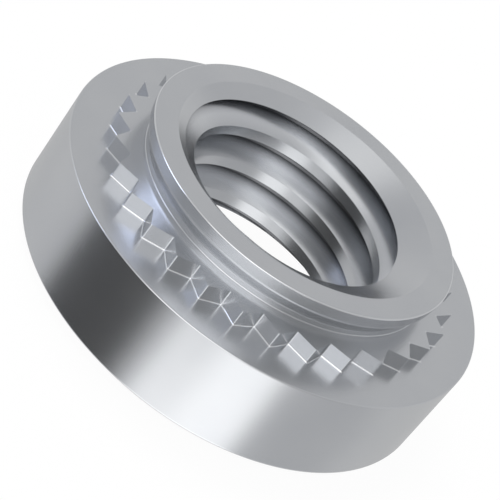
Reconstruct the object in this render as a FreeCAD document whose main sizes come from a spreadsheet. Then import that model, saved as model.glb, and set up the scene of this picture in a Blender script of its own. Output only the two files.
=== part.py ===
import FreeCAD, Part
import math
import os
import Sketcher

# Self-clinching nut for thin sheet, in millimetres, turned and formed from one piece of steel.
# A round head carries a raised ring of teeth. Above the ring a narrow neck opens in a cone to the
# shank, so that sheet pressed over the shank flows into the undercut and grips the teeth.
# The origin is the middle of the head's resting face, and +Z points up through the shank.

NODE = "clinch_nut"
FOLDER = "parts"

SIZES = [
    # the head, with a bevel round its resting face
    ("headDiameter", 8.7),
    ("headHeight", 2.0),
    ("bevelHeight", 0.16),
    ("bevelAngle", 30.0),
    # the ring of teeth on the head
    ("toothCount", 31),
    ("toothTipDiameter", 7.2),
    ("toothDepth", 0.28),
    ("toothTipLand", 0.04),
    ("ringHeight", 0.33),
    # the undercut between the ring and the shank
    ("neckDiameter", 6.02),
    ("neckHeight", 0.12),
    # the shank, measured up from the head, whose outer band narrows a little towards the neck
    ("shankDiameter", 6.38),
    ("shankLength", 0.97),
    ("shankBandHeight", 0.262),
    ("shankBackTaper", 7.5),
    # the hole, at the thread's minor diameter, and the countersink at each of its mouths
    ("boreDiameter", 4.24),
    ("countersinkDiameter", 5.4),
    ("countersinkAngle", 120.0),
    # the small radius that breaks the outer edges
    ("edgeRadius", 0.03),
]

# heights above the resting face, the depth of a countersink and the radius of the band's lower edge,
# worked out from the sizes
RING_TOP = "Sizes.headHeight + Sizes.ringHeight"
SHANK_TOP = "Sizes.headHeight + Sizes.shankLength"
SINK_DEPTH = "(Sizes.countersinkDiameter - Sizes.boreDiameter) / 2 / tan(Sizes.countersinkAngle / 2)"
BAND_FOOT = "Sizes.shankDiameter / 2 - Sizes.shankBandHeight * tan(Sizes.shankBackTaper)"


def makeSheet(doc):
    sheet = doc.addObject("Spreadsheet::Sheet", "Sizes")
    for row, (name, value) in enumerate(SIZES, start=1):
        sheet.set(f"A{row}", name)
        sheet.set(f"B{row}", str(value))
        sheet.setAlias(f"B{row}", name)
    doc.recompute()
    return sheet


def newSketch(body, role, name):
    plane = [feature for feature in body.Origin.OriginFeatures if feature.Role == role][0]
    sketch = body.newObject("Sketcher::SketchObject", name)
    sketch.AttachmentSupport = [(plane, "")]
    sketch.MapMode = "FlatFace"
    return sketch


def drawOutline(sketch, corners):
    # a closed chain of lines, where line number n starts at corner number n
    points = [FreeCAD.Vector(x, y, 0) for x, y in corners]
    for start, end in zip(points, points[1:] + points[:1]):
        sketch.addGeometry(Part.LineSegment(start, end), False)
    for line in range(len(points)):
        after = (line + 1) % len(points)
        sketch.addConstraint(Sketcher.Constraint("Coincident", line, 2, after, 1))


def setSize(sketch, kind, line, name, value, expression):
    # the distance of a line's start from the sketch's origin, bound to the sheet
    index = sketch.addConstraint(Sketcher.Constraint(kind, -1, 1, line, 1, value))
    sketch.renameConstraint(index, name)
    sketch.setExpression(f"Constraints.{name}", expression)


def turnedBlank(body, sheet):
    # half of the nut's section, drawn to the right of the axis and turned once round it
    headRadius = sheet.headDiameter / 2
    bevelWidth = sheet.bevelHeight / math.tan(math.radians(sheet.bevelAngle))
    ringRadius = sheet.toothTipDiameter / 2
    ringTop = sheet.headHeight + sheet.ringHeight
    neckRadius = sheet.neckDiameter / 2
    neckTop = ringTop + sheet.neckHeight
    shankRadius = sheet.shankDiameter / 2
    shankTop = sheet.headHeight + sheet.shankLength
    bandBottom = shankTop - sheet.shankBandHeight
    bandFoot = shankRadius - sheet.shankBandHeight * math.tan(math.radians(sheet.shankBackTaper))
    mouthRadius = sheet.countersinkDiameter / 2
    boreRadius = sheet.boreDiameter / 2
    sinkDepth = (mouthRadius - boreRadius) / math.tan(math.radians(sheet.countersinkAngle / 2))
    corners = [
        (mouthRadius, 0),
        (headRadius - bevelWidth, 0),
        (headRadius, sheet.bevelHeight),
        (headRadius, sheet.headHeight),
        (ringRadius, sheet.headHeight),
        (ringRadius, ringTop),
        (neckRadius, ringTop),
        (neckRadius, neckTop),
        (bandFoot, bandBottom),
        (shankRadius, shankTop),
        (mouthRadius, shankTop),
        (boreRadius, shankTop - sinkDepth),
        (boreRadius, sinkDepth),
    ]
    section = newSketch(body, "XZ_Plane", "Section")
    drawOutline(section, corners)
    restFace, bevel, headSide, headFace, ringSide, ringFace, neck = range(7)
    undercut, band, shankFace, upperSink, bore, lowerSink = range(7, 13)
    for line in (headFace, ringFace, shankFace):
        section.addConstraint(Sketcher.Constraint("Horizontal", line))
    for line in (headSide, ringSide, neck, bore):
        section.addConstraint(Sketcher.Constraint("Vertical", line))
    for line in (restFace, bevel):
        section.addConstraint(Sketcher.Constraint("PointOnObject", line, 1, -1))
    radii = [
        (restFace, "lowerMouthRadius", mouthRadius, "Sizes.countersinkDiameter / 2"),
        (bevel, "bevelRadius", headRadius - bevelWidth,
         "Sizes.headDiameter / 2 - Sizes.bevelHeight / tan(Sizes.bevelAngle)"),
        (headSide, "headRadius", headRadius, "Sizes.headDiameter / 2"),
        (ringSide, "ringRadius", ringRadius, "Sizes.toothTipDiameter / 2"),
        (neck, "neckRadius", neckRadius, "Sizes.neckDiameter / 2"),
        (band, "bandFoot", bandFoot, BAND_FOOT),
        (shankFace, "shankRadius", shankRadius, "Sizes.shankDiameter / 2"),
        (upperSink, "upperMouthRadius", mouthRadius, "Sizes.countersinkDiameter / 2"),
        (bore, "boreRadius", boreRadius, "Sizes.boreDiameter / 2"),
    ]
    heights = [
        (headSide, "bevelHeight", sheet.bevelHeight, "Sizes.bevelHeight"),
        (headFace, "headHeight", sheet.headHeight, "Sizes.headHeight"),
        (ringFace, "ringTop", ringTop, RING_TOP),
        (undercut, "neckTop", neckTop, f"{RING_TOP} + Sizes.neckHeight"),
        (band, "bandBottom", bandBottom, f"{SHANK_TOP} - Sizes.shankBandHeight"),
        (shankFace, "shankTop", shankTop, SHANK_TOP),
        (bore, "upperSinkBottom", shankTop - sinkDepth, f"{SHANK_TOP} - {SINK_DEPTH}"),
        (lowerSink, "lowerSinkTop", sinkDepth, SINK_DEPTH),
    ]
    for line, name, value, expression in radii:
        setSize(section, "DistanceX", line, name, value, expression)
    for line, name, value, expression in heights:
        setSize(section, "DistanceY", line, name, value, expression)
    blank = body.newObject("PartDesign::Revolution", "TurnedBlank")
    blank.Profile = section
    blank.ReferenceAxis = (section, ["V_Axis"])
    blank.Angle = 360
    return blank


def toothGap(body, sheet):
    # the wedge between two teeth, on the -Y side of the ring and cut down to the head's face.
    # Its sides end on the tip circle and leave a narrow land on each tooth.
    tipRadius = sheet.toothTipDiameter / 2
    rootRadius = tipRadius - sheet.toothDepth
    halfMouth = tipRadius * math.sin(math.pi / sheet.toothCount) - sheet.toothTipLand / 2
    mouth = math.sqrt(tipRadius ** 2 - halfMouth ** 2)
    beyond = tipRadius + sheet.toothTipLand
    corners = [
        (0, -rootRadius),
        (halfMouth, -mouth),
        (halfMouth, -beyond),
        (-halfMouth, -beyond),
        (-halfMouth, -mouth),
    ]
    wedge = newSketch(body, "XY_Plane", "ToothWedge")
    wedge.AttachmentOffset.Base.z = sheet.headHeight + sheet.ringHeight
    wedge.setExpression("AttachmentOffset.Base.z", RING_TOP)
    drawOutline(wedge, corners)
    rightFlank, rightSide, outerSide, leftSide, leftFlank = range(5)
    wedge.addConstraint(Sketcher.Constraint("PointOnObject", rightFlank, 1, -2))
    wedge.addConstraint(Sketcher.Constraint("Vertical", rightSide))
    wedge.addConstraint(Sketcher.Constraint("Vertical", leftSide))
    wedge.addConstraint(Sketcher.Constraint("Horizontal", outerSide))
    wedge.addConstraint(Sketcher.Constraint("Symmetric", rightSide, 1, leftFlank, 1, -2))
    # a sketch measures downward distances from the line's start to the origin
    sizes = [
        ("DistanceY", (rightFlank, 1, -1, 1), "rootRadius", rootRadius,
         "Sizes.toothTipDiameter / 2 - Sizes.toothDepth"),
        ("DistanceX", (-1, 1, rightSide, 1), "halfMouth", halfMouth,
         "Sizes.toothTipDiameter / 2 * sin(180 / Sizes.toothCount) - Sizes.toothTipLand / 2"),
        ("Distance", (-1, 1, rightSide, 1), "tipRadius", tipRadius, "Sizes.toothTipDiameter / 2"),
        ("DistanceY", (outerSide, 1, -1, 1), "beyond", beyond,
         "Sizes.toothTipDiameter / 2 + Sizes.toothTipLand"),
    ]
    for kind, ends, name, value, expression in sizes:
        index = wedge.addConstraint(Sketcher.Constraint(kind, *ends, value))
        wedge.renameConstraint(index, name)
        wedge.setExpression(f"Constraints.{name}", expression)
    gap = body.newObject("PartDesign::Pocket", "ToothGap")
    gap.Profile = wedge
    gap.Length = sheet.ringHeight
    gap.setExpression("Length", "Sizes.ringHeight")
    return gap, wedge


def toothRing(body, gap, wedge, sheet):
    ring = body.newObject("PartDesign::PolarPattern", "ToothRing")
    ring.Originals = [gap]
    ring.Axis = (wedge, ["N_Axis"])
    ring.Angle = 360
    ring.Occurrences = int(sheet.toothCount)
    ring.setExpression("Occurrences", "Sizes.toothCount")
    body.Tip = ring
    return ring


def circleEdge(shape, radius, height):
    # the name of the full circle of this radius round the axis, at this height
    near = 1e-4
    for number, edge in enumerate(shape.Edges, start=1):
        if not isinstance(edge.Curve, Part.Circle):
            continue
        if abs(edge.Curve.Radius - radius) < near and abs(edge.Curve.Center.z - height) < near:
            return f"Edge{number}"
    raise RuntimeError(f"no edge of radius {radius} at height {height}")


def brokenEdges(body, ring, sheet):
    # a small radius on the head's two outer edges and on the shank's top edge
    shape = ring.Shape
    headRadius = sheet.headDiameter / 2
    shankTop = sheet.headHeight + sheet.shankLength
    edges = [
        circleEdge(shape, headRadius, sheet.bevelHeight),
        circleEdge(shape, headRadius, sheet.headHeight),
        circleEdge(shape, sheet.shankDiameter / 2, shankTop),
    ]
    rounds = body.newObject("PartDesign::Fillet", "BrokenEdges")
    rounds.Base = (ring, edges)
    rounds.Radius = sheet.edgeRadius
    rounds.setExpression("Radius", "Sizes.edgeRadius")
    return rounds


def checkDocument(doc, body):
    for item in doc.Objects:
        if "Invalid" in item.State or "Error" in item.State:
            raise RuntimeError(f"{item.Name} failed: {item.State}")
    if body.Shape.isNull() or not body.Shape.isValid():
        raise RuntimeError(f"{body.Label} has no valid shape")
    if len(body.Shape.Solids) != 1:
        raise RuntimeError(f"{body.Label} isn't one solid")


def main():
    doc = FreeCAD.newDocument("ClinchNut")
    sheet = makeSheet(doc)
    body = doc.addObject("PartDesign::Body", "Nut")
    body.Label = NODE
    turnedBlank(body, sheet)
    doc.recompute()
    blankVolume = body.Shape.Volume
    gap, wedge = toothGap(body, sheet)
    doc.recompute()
    if body.Shape.Volume >= blankVolume:
        raise RuntimeError("the gap between the teeth cuts nothing")
    ring = toothRing(body, gap, wedge, sheet)
    doc.recompute()
    brokenEdges(body, ring, sheet)
    doc.recompute()
    checkDocument(doc, body)
    os.makedirs(FOLDER, exist_ok=True)
    body.Shape.exportStep(os.path.join(FOLDER, NODE + ".step"))
    box = body.Shape.BoundBox
    print(f"{NODE}: {body.Shape.Volume:.3f} mm3, {len(body.Shape.Faces)} faces")
    print(f"box {box.XLength:.3f} x {box.YLength:.3f} x {box.ZLength:.3f} mm, lowest {box.ZMin:.4f}")


main()
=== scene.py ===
import math

import bmesh
import bpy
from mathutils import Matrix, Vector


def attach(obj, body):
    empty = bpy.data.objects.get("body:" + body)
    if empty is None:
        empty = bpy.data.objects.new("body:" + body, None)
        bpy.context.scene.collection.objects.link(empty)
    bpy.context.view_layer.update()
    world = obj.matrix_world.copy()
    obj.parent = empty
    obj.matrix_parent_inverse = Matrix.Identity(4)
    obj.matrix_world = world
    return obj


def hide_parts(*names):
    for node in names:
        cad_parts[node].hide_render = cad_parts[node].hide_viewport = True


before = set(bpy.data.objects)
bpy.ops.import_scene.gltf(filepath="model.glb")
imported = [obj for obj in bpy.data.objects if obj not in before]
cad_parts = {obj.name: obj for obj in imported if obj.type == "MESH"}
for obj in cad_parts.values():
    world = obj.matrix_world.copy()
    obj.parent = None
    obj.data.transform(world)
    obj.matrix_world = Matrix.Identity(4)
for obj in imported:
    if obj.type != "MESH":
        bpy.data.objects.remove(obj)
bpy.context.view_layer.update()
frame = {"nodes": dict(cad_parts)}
print("frame loaded:", ", ".join(frame["nodes"]))

millimetresPerMetre = 1000

# the nut, in millimetres; its mesh is scaled to metres when it is done
nut = {
    "headWidth": 8.7,
    "headHeight": 2.0,
    "bevelHeight": 0.16,
    "bevelAngle": 30,
    "teeth": 31,
    "toothTip": 7.2,          # across the tips
    "toothDepth": 0.28,
    "toothLand": 0.04,
    "ringHeight": 0.33,
    "neckWidth": 6.02,
    "neckHeight": 0.12,
    "shankWidth": 6.38,
    "shankLength": 0.97,
    "bandHeight": 0.262,
    "backTaper": 7.5,         # how far the shank's band leans in towards the neck
    "boreWidth": 4.24,
    "sinkWidth": 5.4,
    "sinkAngle": 120,
    "stepsPerTooth": 12,      # columns of the turned mesh in each tooth
    "rounds": {               # the small radii on the turned edges, and how much painted highlight, also standing for wear, each one gets
        "bevelHigh": (0.03, 1),
        "headRim": (0.018, 0.4),
        "bandHigh": (0.022, 1),
        "bandLow": (0.03, 0.7),
        "neckHigh": (0.02, 0.4),
        "neckLow": (0.02, 0.3),
    },
    "toothRound": 0.024,      # where the teeth's sides meet each other and the head
    # how much painted highlight, also standing for wear, the teeth's radii get
    "toothWearAndHighlight": 1,
    "roundSegments": 4,
    "sharpAngle": 25,         # steeper edges than this stay sharp
    "mergeWithin": 1e-5,
    "sameRadius": 1e-4,       # how closely a vertex has to lie on the teeth's circle
}

# the M5 x 0.8 right-hand thread, cut into the bore
thread = {
    "pitch": 0.8,
    "crestFlat": 0.224,       # what is left of the bore's wall between two turns
    "flankAngle": 31,         # from level
    "rootWidth": 5.1,         # across the bottom of the groove
    "reachIn": 0.12,          # how far the cutter stands into the open bore
    "startHeight": 1.83,      # a crest's lower edge, on the +X side
    "turnsBelow": 4,          # whole turns of the cutter below that height
    "turns": 7,
    "stepsPerTurn": 180,
    "slack": 0.01,            # a face's middle lies this close to where its true circle would put it
}


def metalSection(bm):
    # half of the nut's section, with its sharp corners, as a closed wire in the XZ plane
    bevelWidth = nut["bevelHeight"] / math.tan(math.radians(nut["bevelAngle"]))
    sinkDepth = (nut["sinkWidth"] - nut["boreWidth"]) / 2 / math.tan(math.radians(nut["sinkAngle"] / 2))
    head = nut["headWidth"] / 2
    headTop = nut["headHeight"]
    ringTop = headTop + nut["ringHeight"]
    top = headTop + nut["shankLength"]
    bandFoot = nut["shankWidth"] / 2 - nut["bandHeight"] * math.tan(math.radians(nut["backTaper"]))
    corners = {
        "mouthLow": (nut["sinkWidth"] / 2, 0),
        "bevelLow": (head - bevelWidth, 0),
        "bevelHigh": (head, nut["bevelHeight"]),
        "headRim": (head, headTop),
        "toothFoot": (nut["toothTip"] / 2, headTop),
        "toothTop": (nut["toothTip"] / 2, ringTop),
        "neckLow": (nut["neckWidth"] / 2, ringTop),
        "neckHigh": (nut["neckWidth"] / 2, ringTop + nut["neckHeight"]),
        "bandLow": (bandFoot, top - nut["bandHeight"]),
        "bandHigh": (nut["shankWidth"] / 2, top),
        "mouthHigh": (nut["sinkWidth"] / 2, top),
        "boreHigh": (nut["boreWidth"] / 2, top - sinkDepth),
        "boreLow": (nut["boreWidth"] / 2, sinkDepth),
    }
    verts = {name: bm.verts.new((r, 0, z)) for name, (r, z) in corners.items()}
    ring = list(verts.values())
    for a, b in zip(ring, ring[1:] + ring[:1]):
        bm.edges.new((a, b))
    return verts


def roundCorners(bm, verts):
    # returns the place of each corner that is rounded away, with its radius and how much painted
    # highlight, also standing for wear, it gets
    places = []
    for name, (radius, wearAndHighlightLevel) in nut["rounds"].items():
        corner = verts[name]
        places.append((corner.co.x, corner.co.z, radius, wearAndHighlightLevel))
        bmesh.ops.bevel(bm, geom=[corner], offset=radius, offset_type="OFFSET", affect="VERTICES",
                        segments=nut["roundSegments"], profile=0.5, material=-1)
    return places


def markTurnedRounds(bm, wearAndHighlight, places):
    # faces on the turned radii get their level of painted edge highlight, which also stands for wear
    for face in bm.faces:
        middle = face.calc_center_median()
        for radius, height, size, wearAndHighlightLevel in places:
            if math.hypot(middle.xy.length - radius, middle.z - height) < size:
                face[wearAndHighlight] = wearAndHighlightLevel


def toothStep(vert):
    # which column of its tooth a vertex is in, where 0 is a valley and half of the steps is a tip
    steps = nut["stepsPerTooth"]
    whole = nut["teeth"] * steps
    angle = math.atan2(vert.co.y, vert.co.x) + math.pi / 2   # a valley faces -Y
    return round(angle / math.tau * whole) % steps


def pullTeeth(bm):
    # the plain wall of the ring becomes a zigzag of flat sides, whose tips end a little outside the land
    steps = nut["stepsPerTooth"]
    half = math.pi / nut["teeth"]
    tipRadius = nut["toothTip"] / 2
    landAngle = half - math.asin(nut["toothLand"] / 2 / tipRadius)
    valley = Vector((tipRadius - nut["toothDepth"], 0))
    land = Vector((tipRadius * math.cos(landAngle), tipRadius * math.sin(landAngle)))
    side = land - valley
    wall = [v for v in bm.verts if abs(v.co.xy.length - tipRadius) < nut["sameRadius"]]
    for vert in wall:
        step = toothStep(vert)
        slope = math.tan(half * min(step, steps - step) / (steps / 2))
        share = valley.x * slope / (side.y - side.x * slope)
        vert.co.xy = vert.co.xy.normalized() * (valley + side * share).length
    return wall


def toothEdges(wall):
    # the zigzag's upright edges at tips and valleys, and its foot on the head
    ends = set(wall)
    # a dictionary keeps the edges in the same order each run, which a set doesn't
    within = dict.fromkeys(e for v in wall for e in v.link_edges if e.other_vert(v) in ends)
    tips, valleys, foot = [], [], []
    for edge in within:
        a, b = edge.verts
        if abs(a.co.z - b.co.z) > nut["ringHeight"] / 2:
            step = toothStep(a)
            if step == 0:
                valleys.append(edge)
            elif step == nut["stepsPerTooth"] // 2:
                tips.append(edge)
        elif a.co.z < nut["headHeight"] + nut["ringHeight"] / 2:
            foot.append(edge)
    return tips, valleys, foot


def blankMesh():
    # the turned blank with its toothed ring and small radii, before the thread is cut
    bm = bmesh.new()
    wearAndHighlight = bm.faces.layers.float.new("wearAndHighlight")
    places = roundCorners(bm, metalSection(bm))
    bmesh.ops.spin(bm, geom=bm.verts[:] + bm.edges[:], cent=(0, 0, 0), axis=(0, 0, 1), angle=math.tau,
                   steps=nut["teeth"] * nut["stepsPerTooth"], use_merge=True, use_duplicate=False)
    markTurnedRounds(bm, wearAndHighlight, places)
    tips, valleys, foot = toothEdges(pullTeeth(bm))
    bmesh.ops.recalc_face_normals(bm, faces=bm.faces[:])
    rounded = bmesh.ops.bevel(bm, geom=tips + valleys + foot, offset=nut["toothRound"],
                              offset_type="OFFSET", affect="EDGES", segments=nut["roundSegments"],
                              profile=0.5, material=-1, clamp_overlap=True)
    # the teeth's radii get painted highlight, which also stands for wear
    for face in rounded["faces"]:
        face[wearAndHighlight] = nut["toothWearAndHighlight"]
    mesh = bpy.data.meshes.new("nutBlank")
    bm.to_mesh(mesh)
    bm.free()
    return mesh


def cutterMesh():
    # a ridge with the groove's shape that winds up through the bore and past both ends
    bm = bmesh.new()
    bore = nut["boreWidth"] / 2
    root = thread["rootWidth"] / 2
    inner = bore - thread["reachIn"]
    slope = math.tan(math.radians(thread["flankAngle"]))
    halfBore = (thread["pitch"] - thread["crestFlat"]) / 2
    halfInner = halfBore + (bore - inner) * slope
    halfRoot = halfBore - (root - bore) * slope
    middle = thread["startHeight"] - halfBore - thread["turnsBelow"] * thread["pitch"]
    profile = [(inner, -halfInner), (root, -halfRoot), (root, halfRoot), (inner, halfInner)]
    face = bm.faces.new([bm.verts.new((r, 0, middle + z)) for r, z in profile])
    steps = thread["stepsPerTurn"]
    bmesh.ops.spin(bm, geom=[face], cent=(0, 0, 0), axis=(0, 0, 1), dvec=(0, 0, thread["pitch"] / steps),
                   angle=math.tau * thread["turns"], steps=steps * thread["turns"],
                   use_merge=False, use_duplicate=False)
    bmesh.ops.recalc_face_normals(bm, faces=bm.faces[:])
    mesh = bpy.data.meshes.new("threadCutter")
    bm.to_mesh(mesh)
    bm.free()
    return mesh


def addObject(name, mesh):
    obj = bpy.data.objects.new(name, mesh)
    bpy.context.scene.collection.objects.link(obj)
    return obj


def applyModifiers(obj):
    # the finished mesh takes the place of the one before the modifiers
    bpy.context.view_layer.update()
    finished = bpy.data.meshes.new_from_object(obj.evaluated_get(bpy.context.evaluated_depsgraph_get()))
    obj.modifiers.clear()
    before = obj.data
    obj.data = finished
    bpy.data.meshes.remove(before)


def cutThread(obj):
    cutter = addObject("threadCutter", cutterMesh())
    cut = obj.modifiers.new("thread", "BOOLEAN")
    cut.operation = "DIFFERENCE"
    cut.solver = "EXACT"
    cut.object = cutter
    applyModifiers(obj)
    bpy.data.objects.remove(cutter)


def markThread(bm):
    # which faces are the thread's crests, and how deep each corner of the groove's faces lies in it
    crest = bm.faces.layers.float.new("crest")
    depth = bm.loops.layers.float.new("grooveDepth")
    bore = nut["boreWidth"] / 2
    reach = thread["rootWidth"] / 2 - bore
    sinkSlope = math.tan(math.radians(90 - nut["sinkAngle"] / 2))
    sinkDepth = (nut["sinkWidth"] / 2 - bore) * sinkSlope
    top = nut["headHeight"] + nut["shankLength"]
    slack = thread["slack"]
    for face in bm.faces:
        middle = face.calc_center_median()
        outward = middle.xy.length - bore
        margin = sinkDepth - outward * sinkSlope + slack     # from the end faces to the countersinks
        if not margin - 2 * slack < middle.z < top - margin + 2 * slack:
            continue
        if abs(outward) < slack / 2:
            face[crest] = 1
        elif 0 < outward < reach + slack and margin < middle.z < top - margin:
            for loop in face.loops:
                loop[depth] = min(1, max(0, loop.vert.co.xy.length - bore) / reach)


def shadeEvenly(obj):
    # flat faces stay flat beside the small radii; the weights are areas, so this is done in millimetres,
    # because in metres they are too small to count
    obj.data.shade_smooth()
    obj.data.set_sharp_from_angle(angle=math.radians(nut["sharpAngle"]))
    weigh = obj.modifiers.new("evenShading", "WEIGHTED_NORMAL")
    weigh.keep_sharp = True
    applyModifiers(obj)


body = addObject("nutBody", blankMesh())
print("blank turned:", len(body.data.polygons), "faces")
cutThread(body)
print("thread cut:", len(body.data.polygons), "faces")
bm = bmesh.new()
bm.from_mesh(body.data)
bmesh.ops.remove_doubles(bm, verts=bm.verts[:], dist=nut["mergeWithin"])
markThread(bm)
bm.to_mesh(body.data)
bm.free()
shadeEvenly(body)
body.data.transform(Matrix.Scale(1 / millimetresPerMetre, 4))
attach(body, "root")
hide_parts("clinch_nut")
print("nut built")


def addNode(tree, kind, x, y, **settings):
    node = tree.nodes.new(kind)
    node.location = (x, y)
    for name, value in settings.items():
        setattr(node, name, value)
    return node


def newGroup(name, inputs, outputs):
    tree = bpy.data.node_groups.new(name, "ShaderNodeTree")
    for label, kind, value in inputs:
        socket = tree.interface.new_socket(label, in_out="INPUT", socket_type=kind)
        if value is not None:
            socket.default_value = value
    for label, kind in outputs:
        tree.interface.new_socket(label, in_out="OUTPUT", socket_type=kind)
    return tree, addNode(tree, "NodeGroupInput", -900, 0), addNode(tree, "NodeGroupOutput", 900, 0)


def newMaterial(name):
    material = bpy.data.materials.new(name)
    material.use_nodes = True
    tree = material.node_tree
    tree.nodes.clear()
    return material, tree, tree.links.new


def laidOver(tree, x, y, share, below, colour):
    # a colour laid over the one below it, as far as the share says
    mix = addNode(tree, "ShaderNodeMix", x, y, data_type="RGBA")
    tree.links.new(share, mix.inputs["Factor"])
    tree.links.new(below, mix.inputs["A"])
    mix.inputs["B"].default_value = (*colour, 1)
    return mix.outputs["Result"]


# bright zinc plating over turned steel; lengths in millimetres
plating = {
    "thickColour": (0.67, 0.681, 0.696),    # where the plating is a little thicker
    "thinColour": (0.60, 0.615, 0.64),      # where it is a little thinner
    "crestColour": (0.58, 0.595, 0.615),    # what the drill left between the turns of the thread
    "flankPaintedLight": (0.765, 0.78, 0.805),    # painted light on the thread's flanks, standing in for their reflection
    "flankLightFade": (0, 0.5),                  # shares of the groove's depth
    "rootPaintedShade": (0.2, 0.205, 0.215),      # painted shade at the bottom of the groove
    "rootShadeFade": 4,
    "edgeHighlightColour": (0.82, 0.83, 0.85),       # painted highlight on the small radii, also standing for edges worn by the die and by handling
    "edgeTint": (0.87, 0.87, 0.87),         # what is seen at a glancing angle
    # the least share of painted edge highlight and wear, where the patches keep it low
    "leastWearAndHighlight": 0.85,
    "patchRange": (0.3, 0.6),               # the part of the patches' noise that makes the edges' painted highlight and wear uneven
    "roughness": 0.24,
    "patchRoughness": 0.02,                 # how much the patches change it
    "ringRoughness": 0.01,
    "edgePolish": 0.1,
    "patchScale": 0.9,                      # per millimetre
    "patchDetail": 4,
    "ringScale": 22,                        # turning marks, per millimetre
    "ringDetail": 2,
    "ringLength": 1.6,                      # how soon they change along their run
    "speckScale": 70,
    "speckDetail": 1,
    "speckShare": 0.5,                      # of the bump, against the turning marks
    "bumpHeight": 0.00003,
}


def platingMaterial():
    material, tree, link = newMaterial("zincPlatedSteel")
    place = addNode(tree, "ShaderNodeTexCoord", -1700, 0)
    inMillimetres = addNode(tree, "ShaderNodeVectorMath", -1500, 0, operation="SCALE")
    inMillimetres.inputs["Scale"].default_value = millimetresPerMetre
    link(place.outputs["Object"], inMillimetres.inputs[0])

    # turning marks: a noise of the distance from the axis and the height, drawn out round the axis
    outward = addNode(tree, "ShaderNodeVectorMath", -1300, 250, operation="MULTIPLY")
    outward.inputs[1].default_value = (1, 1, 0)
    link(inMillimetres.outputs[0], outward.inputs[0])
    radius = addNode(tree, "ShaderNodeVectorMath", -1100, 400, operation="LENGTH")
    link(outward.outputs[0], radius.inputs[0])
    direction = addNode(tree, "ShaderNodeVectorMath", -1100, 250, operation="NORMALIZE")
    link(outward.outputs[0], direction.inputs[0])
    along = addNode(tree, "ShaderNodeVectorMath", -900, 250, operation="SCALE")
    along.inputs["Scale"].default_value = plating["ringLength"]
    link(direction.outputs[0], along.inputs[0])
    upward = addNode(tree, "ShaderNodeVectorMath", -1100, 80, operation="MULTIPLY")
    upward.inputs[1].default_value = (0, 0, plating["ringScale"])
    link(inMillimetres.outputs[0], upward.inputs[0])
    ringPlace = addNode(tree, "ShaderNodeVectorMath", -700, 200, operation="ADD")
    link(along.outputs[0], ringPlace.inputs[0])
    link(upward.outputs[0], ringPlace.inputs[1])
    ringRadius = addNode(tree, "ShaderNodeMath", -700, 400, operation="MULTIPLY")
    ringRadius.inputs[1].default_value = plating["ringScale"]
    link(radius.outputs["Value"], ringRadius.inputs[0])
    rings = addNode(tree, "ShaderNodeTexNoise", -500, 300, noise_dimensions="4D")
    rings.inputs["Scale"].default_value = 1
    rings.inputs["Detail"].default_value = plating["ringDetail"]
    link(ringPlace.outputs[0], rings.inputs["Vector"])
    link(ringRadius.outputs[0], rings.inputs["W"])

    patches = addNode(tree, "ShaderNodeTexNoise", -500, 0)
    patches.inputs["Scale"].default_value = plating["patchScale"]
    patches.inputs["Detail"].default_value = plating["patchDetail"]
    link(inMillimetres.outputs[0], patches.inputs["Vector"])
    specks = addNode(tree, "ShaderNodeTexNoise", -500, -250)
    specks.inputs["Scale"].default_value = plating["speckScale"]
    specks.inputs["Detail"].default_value = plating["speckDetail"]
    link(inMillimetres.outputs[0], specks.inputs["Vector"])

    # painted highlight on the small radii, concave ones too, which also stands for edges worn by the
    # forming die and handling, more in some places than in others
    wearAndHighlight = addNode(tree, "ShaderNodeAttribute", -700, -500, attribute_name="wearAndHighlight")
    unevenly = addNode(tree, "ShaderNodeMapRange", -700, -300)
    unevenly.inputs["From Min"].default_value = plating["patchRange"][0]
    unevenly.inputs["From Max"].default_value = plating["patchRange"][1]
    unevenly.inputs["To Min"].default_value = plating["leastWearAndHighlight"]
    link(patches.outputs["Fac"], unevenly.inputs["Value"])
    edges = addNode(tree, "ShaderNodeMath", -500, -500, operation="MULTIPLY")
    link(wearAndHighlight.outputs["Fac"], edges.inputs[0])
    link(unevenly.outputs["Result"], edges.inputs[1])

    patchColour = addNode(tree, "ShaderNodeMix", -200, 200, data_type="RGBA")
    link(patches.outputs["Fac"], patchColour.inputs["Factor"])
    patchColour.inputs["A"].default_value = (*plating["thinColour"], 1)
    patchColour.inputs["B"].default_value = (*plating["thickColour"], 1)

    # the thread: dull crests, painted light on the flanks and painted shade at the bottom of the groove
    crest = addNode(tree, "ShaderNodeAttribute", -500, 1000, attribute_name="crest")
    grooveDepth = addNode(tree, "ShaderNodeAttribute", -500, 600, attribute_name="grooveDepth")
    # painted light on the flanks, fading in from the crest's edge to half the groove's depth
    flankLightShare = addNode(tree, "ShaderNodeMapRange", -300, 800)
    flankLightShare.inputs["From Min"].default_value = plating["flankLightFade"][0]
    flankLightShare.inputs["From Max"].default_value = plating["flankLightFade"][1]
    link(grooveDepth.outputs["Fac"], flankLightShare.inputs["Value"])
    # painted shade, strongest at the bottom of the groove
    rootShadeShare = addNode(tree, "ShaderNodeMath", -300, 600, operation="POWER")
    rootShadeShare.inputs[1].default_value = plating["rootShadeFade"]
    link(grooveDepth.outputs["Fac"], rootShadeShare.inputs[0])
    colour = patchColour.outputs["Result"]
    for step, (share, name) in enumerate(((crest.outputs["Fac"], "crestColour"),
                                          (flankLightShare.outputs["Result"], "flankPaintedLight"),
                                          (rootShadeShare.outputs[0], "rootPaintedShade"),
                                          (edges.outputs[0], "edgeHighlightColour"))):
        colour = laidOver(tree, -100 + 200 * step, 400, share, colour, plating[name])

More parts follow.
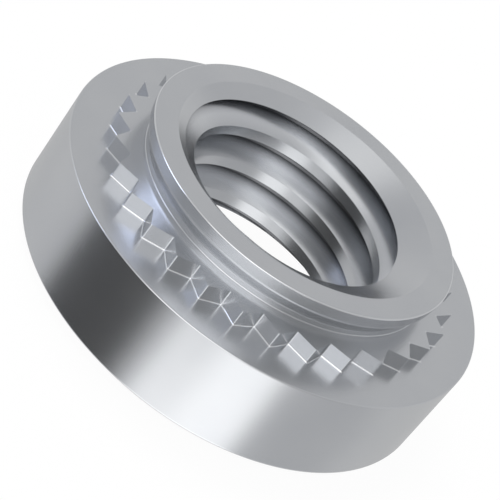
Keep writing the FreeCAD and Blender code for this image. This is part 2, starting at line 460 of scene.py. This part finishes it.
    gloss = None
    for row, (effect, size) in enumerate(((patches.outputs["Fac"], plating["patchRoughness"]),
                                          (rings.outputs["Fac"], plating["ringRoughness"]),
                                          (edges.outputs[0], -plating["edgePolish"]))):
        change = addNode(tree, "ShaderNodeMath", -200 + 180 * row, -150, operation="MULTIPLY_ADD")
        change.inputs[1].default_value = size
        link(effect, change.inputs[0])
        if gloss is None:
            change.inputs[2].default_value = (
                plating["roughness"] - plating["patchRoughness"] / 2 - plating["ringRoughness"] / 2)
        else:
            link(gloss, change.inputs[2])
        gloss = change.outputs[0]

    height = addNode(tree, "ShaderNodeMath", 0, -400, operation="MULTIPLY_ADD")
    height.inputs[1].default_value = plating["speckShare"]
    link(specks.outputs["Fac"], height.inputs[0])
    link(rings.outputs["Fac"], height.inputs[2])
    bump = addNode(tree, "ShaderNodeBump", 200, -400)
    bump.inputs["Strength"].default_value = 1
    bump.inputs["Distance"].default_value = plating["bumpHeight"] / millimetresPerMetre
    link(height.outputs[0], bump.inputs["Height"])

    shader = addNode(tree, "ShaderNodeBsdfPrincipled", 750, 0)
    shader.inputs["Metallic"].default_value = 1
    shader.inputs["Specular Tint"].default_value = (*plating["edgeTint"], 1)
    link(colour, shader.inputs["Base Color"])
    link(gloss, shader.inputs["Roughness"])
    link(bump.outputs["Normal"], shader.inputs["Normal"])
    out = addNode(tree, "ShaderNodeOutputMaterial", 1050, 0)
    link(shader.outputs[0], out.inputs["Surface"])
    return material


body.data.materials.clear()
body.data.materials.append(platingMaterial())
print("plating made")


def softPanelGroup():
    # how much of a soft-edged rectangle a direction points at, seen from the middle of the tent
    tree, inputs, outputs = newGroup(
        "softPanel",
        [("Direction", "NodeSocketVector", None), ("Middle", "NodeSocketVector", None),
         ("Right", "NodeSocketVector", None), ("Up", "NodeSocketVector", None),
         ("Width", "NodeSocketFloat", 1.0), ("Height", "NodeSocketFloat", 1.0),
         ("Softness", "NodeSocketFloat", 0.1)],
        [("Mask", "NodeSocketFloat")])
    link = tree.links.new
    ahead = addNode(tree, "ShaderNodeVectorMath", -650, 200, operation="DOT_PRODUCT")
    link(inputs.outputs["Direction"], ahead.inputs[0])
    link(inputs.outputs["Middle"], ahead.inputs[1])
    inFront = addNode(tree, "ShaderNodeMath", -450, 300, operation="GREATER_THAN")
    inFront.inputs[1].default_value = 0.001
    link(ahead.outputs["Value"], inFront.inputs[0])
    masks = [inFront.outputs[0]]
    for row, (side, size) in enumerate((("Right", "Width"), ("Up", "Height"))):
        y = -250 * row
        across = addNode(tree, "ShaderNodeVectorMath", -650, y, operation="DOT_PRODUCT")
        link(inputs.outputs["Direction"], across.inputs[0])
        link(inputs.outputs[side], across.inputs[1])
        slope = addNode(tree, "ShaderNodeMath", -450, y, operation="DIVIDE")
        link(across.outputs["Value"], slope.inputs[0])
        link(ahead.outputs["Value"], slope.inputs[1])
        distance = addNode(tree, "ShaderNodeMath", -250, y, operation="ABSOLUTE")
        link(slope.outputs[0], distance.inputs[0])
        outer = addNode(tree, "ShaderNodeMath", -250, y - 120, operation="ADD")
        link(inputs.outputs[size], outer.inputs[0])
        link(inputs.outputs["Softness"], outer.inputs[1])
        inner = addNode(tree, "ShaderNodeMath", -50, y - 120, operation="SUBTRACT")
        link(inputs.outputs[size], inner.inputs[0])
        link(inputs.outputs["Softness"], inner.inputs[1])
        edge = addNode(tree, "ShaderNodeMapRange", 150, y, interpolation_type="SMOOTHSTEP")
        link(distance.outputs[0], edge.inputs["Value"])
        link(outer.outputs[0], edge.inputs["From Min"])
        link(inner.outputs[0], edge.inputs["From Max"])
        masks.append(edge.outputs["Result"])
    product = masks[0]
    for step, mask in enumerate(masks[1:]):
        times = addNode(tree, "ShaderNodeMath", 400 + 180 * step, 0, operation="MULTIPLY")
        link(product, times.inputs[0])
        link(mask, times.inputs[1])
        product = times.outputs[0]
    link(product, outputs.inputs["Mask"])
    return tree


# the light tent that the metal mirrors: grey cloth with cards and lamps, open at the front and the top,
# where the metal sees the white room behind it; azimuth is counted from +X towards +Y, and width and
# height are half sizes at a distance of 1
# the cloth's level and the panels' angles, sizes, softness and levels weren't set by hand: a scratch
# program fitted them to how bright the photo's metal is
tent = {
    "radius": 0.3,
    "subdivisions": 4,
    "cloth": (0.565, 0.569, 0.578),
    "panels": [
        # name, azimuth, elevation, roll, width, height, softness, colour, own light, openness
        ("backCard", 116.5, -10.8, -17.8, 2.444, 0.578, 1.284, (1, 1, 1), 0.732, 0),
        ("topOpening", -170.3, 80.6, 1.2, 0.308, 0.179, 0.11, (1, 1, 1), 0, 0.928),
        ("frontHigh", -86.6, 39.1, -27.6, 0.524, 1.103, 0.071, (1, 1, 1), 0.459, 1),
        ("frontLow", -72.3, -51.1, 0.6, 0.414, 0.317, 0.079, (1, 1, 1), 0.503, 1),
        ("frontLowRight", -59.5, -48.9, 3.5, 0.251, 0.46, 0.119, (1, 1, 1), 0.54, 1),
        ("darkCard", -138.1, -35.9, -15.9, 0.416, 0.302, 0.101, (1, 1, 1), 0.074, 0),
        ("leftLamp", -163.1, 1.1, -5.9, 0.248, 0.318, 0.055, (0.9, 0.97, 1.17), 2.285, 0),
        ("leftHigh", 172, 38.3, 3.1, 0.282, 0.051, 0.077, (0.9, 0.97, 1.17), 1.436, 0),
        ("rightDark", -31.8, 19, 15.8, 0.403, 0.831, 0.131, (1, 1, 1), 0.413, 0),
        ("rightCard", 47.8, -33.7, 0.5, 0.56, 0.358, 0.318, (1, 1, 1), 0.697, 0),
    ],
}


def panelAxes(azimuth, elevation, roll):
    # the directions of a panel's middle, its right and its upper side
    azimuth, elevation, roll = (math.radians(a) for a in (azimuth, elevation, roll))
    middle = Vector((math.cos(elevation) * math.cos(azimuth), math.cos(elevation) * math.sin(azimuth),
                     math.sin(elevation)))
    level = Vector((-math.sin(azimuth), math.cos(azimuth), 0))
    rise = middle.cross(level)
    if rise.z < 0:
        rise = -rise
    right = level * math.cos(roll) + rise * math.sin(roll)
    up = rise * math.cos(roll) - level * math.sin(roll)
    return middle, right, up


def tentMaterial():
    material, tree, link = newMaterial("tentCloth")
    place = addNode(tree, "ShaderNodeTexCoord", -1200, 0)
    softPanel = softPanelGroup()
    cloth = addNode(tree, "ShaderNodeRGB", -1000, 300)
    cloth.outputs[0].default_value = (*tent["cloth"], 1)
    closed = addNode(tree, "ShaderNodeRGB", -1000, 500)
    closed.outputs[0].default_value = (0, 0, 0, 1)
    colour, openness = cloth.outputs[0], closed.outputs[0]
    for row, settings in enumerate(tent["panels"]):
        name, azimuth, elevation, roll, width, height, softness, tint, light, gap = settings
        x = -900 + 260 * row
        panel = addNode(tree, "ShaderNodeGroup", x, -200 - 100 * row, node_tree=softPanel)
        panel.label = name
        link(place.outputs["Object"], panel.inputs["Direction"])
        for socket, axis in zip(("Middle", "Right", "Up"), panelAxes(azimuth, elevation, roll)):
            panel.inputs[socket].default_value = axis
        panel.inputs["Width"].default_value = width
        panel.inputs["Height"].default_value = height
        panel.inputs["Softness"].default_value = softness
        mixed = []
        for y, before, after in ((200, colour, [c * light for c in tint]), (450, openness, [gap] * 3)):
            mix = addNode(tree, "ShaderNodeMix", x + 200, y, data_type="RGBA", clamp_result=False)
            link(panel.outputs["Mask"], mix.inputs["Factor"])
            link(before, mix.inputs["A"])
            mix.inputs["B"].default_value = (*after, 1)
            mixed.append(mix.outputs["Result"])
        colour, openness = mixed
    glow = addNode(tree, "ShaderNodeEmission", 900, 0)
    link(colour, glow.inputs["Color"])
    gaps = addNode(tree, "ShaderNodeBsdfTransparent", 900, 200)
    link(openness, gaps.inputs["Color"])
    both = addNode(tree, "ShaderNodeAddShader", 1100, 0)
    link(glow.outputs[0], both.inputs[0])
    link(gaps.outputs[0], both.inputs[1])
    out = addNode(tree, "ShaderNodeOutputMaterial", 1300, 0)
    link(both.outputs[0], out.inputs["Surface"])
    return material


def addTent():
    bm = bmesh.new()
    bmesh.ops.create_icosphere(bm, subdivisions=tent["subdivisions"], radius=tent["radius"])
    mesh = bpy.data.meshes.new("tent")
    bm.to_mesh(mesh)
    bm.free()
    mesh.materials.append(tentMaterial())
    obj = addObject("tent", mesh)
    obj.visible_camera = False
    obj.visible_diffuse = False
    obj.visible_shadow = False
    obj.visible_transmission = False


# the room round the tent: a white background, a pale floor and a soft lamp that gives the nut its shadow
room = {
    "plainLight": 0.62,        # the world's light on the floor
    "floorSize": 4,
    "floorDrop": 0.00001,
    "floorColour": (0.95, 0.95, 0.95),
    "floorGlow": 0.955,        # share of the floor's white that no shadow reaches
    "lampPlace": (-0.16, 0.12, 0.4),
    "lampSize": 0.25,
    "lampPower": 1.1,
}


def seenDirectly(tree, link, x, y):
    # 1 for rays from the camera, off metal and through glass, which see the background as white
    rays = addNode(tree, "ShaderNodeLightPath", x, y)
    seen = rays.outputs["Is Camera Ray"]
    for step, kind in enumerate(("Is Glossy Ray", "Is Transmission Ray")):
        either = addNode(tree, "ShaderNodeMath", x + 180 * (step + 1), y, operation="MAXIMUM")
        link(seen, either.inputs[0])
        link(rays.outputs[kind], either.inputs[1])
        seen = either.outputs[0]
    return seen


def addWorld():
    world = bpy.data.worlds.new("room")
    bpy.context.scene.world = world
    world.use_nodes = True
    tree = world.node_tree
    tree.nodes.clear()
    link = tree.links.new
    choose = addNode(tree, "ShaderNodeMixShader", 300, 0)
    link(seenDirectly(tree, link, -400, 200), choose.inputs[0])
    for socket, level in ((1, room["plainLight"]), (2, 1)):
        light = addNode(tree, "ShaderNodeBackground", 0, -150 * socket)
        light.inputs["Color"].default_value = (1, 1, 1, 1)
        light.inputs["Strength"].default_value = level
        link(light.outputs[0], choose.inputs[socket])
    out = addNode(tree, "ShaderNodeOutputWorld", 500, 0)
    link(choose.outputs[0], out.inputs["Surface"])


def addFloor():
    material, tree, link = newMaterial("paleFloor")
    paint = addNode(tree, "ShaderNodeBsdfDiffuse", 0, 0)
    paint.inputs["Color"].default_value = (*room["floorColour"], 1)
    white = addNode(tree, "ShaderNodeEmission", 0, -150)
    share = addNode(tree, "ShaderNodeMath", 0, 200, operation="MULTIPLY")
    share.inputs[1].default_value = room["floorGlow"]
    link(seenDirectly(tree, link, -600, 200), share.inputs[0])
    mix = addNode(tree, "ShaderNodeMixShader", 250, 0)
    link(share.outputs[0], mix.inputs[0])
    link(paint.outputs[0], mix.inputs[1])
    link(white.outputs[0], mix.inputs[2])
    out = addNode(tree, "ShaderNodeOutputMaterial", 450, 0)
    link(mix.outputs[0], out.inputs["Surface"])
    bm = bmesh.new()
    bmesh.ops.create_grid(bm, x_segments=1, y_segments=1, size=room["floorSize"] / 2,
                          matrix=Matrix.Translation((0, 0, -room["floorDrop"])))
    mesh = bpy.data.meshes.new("floor")
    bm.to_mesh(mesh)
    bm.free()
    mesh.materials.append(material)
    floor = addObject("floor", mesh)
    floor.visible_glossy = False       # the metal mirrors the tent, which goes on below the floor


def addLamp():
    light = bpy.data.lights.new("softLamp", "AREA")
    light.size = room["lampSize"]
    light.energy = room["lampPower"]
    lamp = addObject("softLamp", light)
    lamp.location = room["lampPlace"]
    lamp.rotation_euler = (-lamp.location).to_track_quat("-Z", "Y").to_euler()
    lamp.visible_glossy = False        # the metal is lit by the tent alone


addTent()
addWorld()
addFloor()
addLamp()
print("studio built")

# the camera looks down at the nut and is rolled, so that the nut seems to lean; a scratch program fitted
# its place, directions and lens to the nut's outlines in the photo
cameraView = {
    "place": (-0.471, -29.745, 19.814),        # millimetres
    "right": (0.7956, 0.3158, 0.5171),
    "up": (-0.6058, 0.4282, 0.6707),
    "lens": 135.84,
    "sensor": 36,
    "nearest": 0.001,                          # metres
    "furthest": 10,
}


def addCamera():
    lens = bpy.data.cameras.new("camera")
    lens.lens = cameraView["lens"]
    lens.sensor_width = cameraView["sensor"]
    lens.clip_start = cameraView["nearest"]
    lens.clip_end = cameraView["furthest"]
    camera = addObject("camera", lens)
    right = Vector(cameraView["right"]).normalized()
    up = Vector(cameraView["up"])
    up = (up - right * up.dot(right)).normalized()
    turn = Matrix((right, up, right.cross(up))).transposed().to_4x4()
    camera.matrix_world = Matrix.Translation(Vector(cameraView["place"]) / millimetresPerMetre) @ turn
    bpy.context.scene.camera = camera


addCamera()
bpy.context.scene.view_settings.view_transform = "Standard"
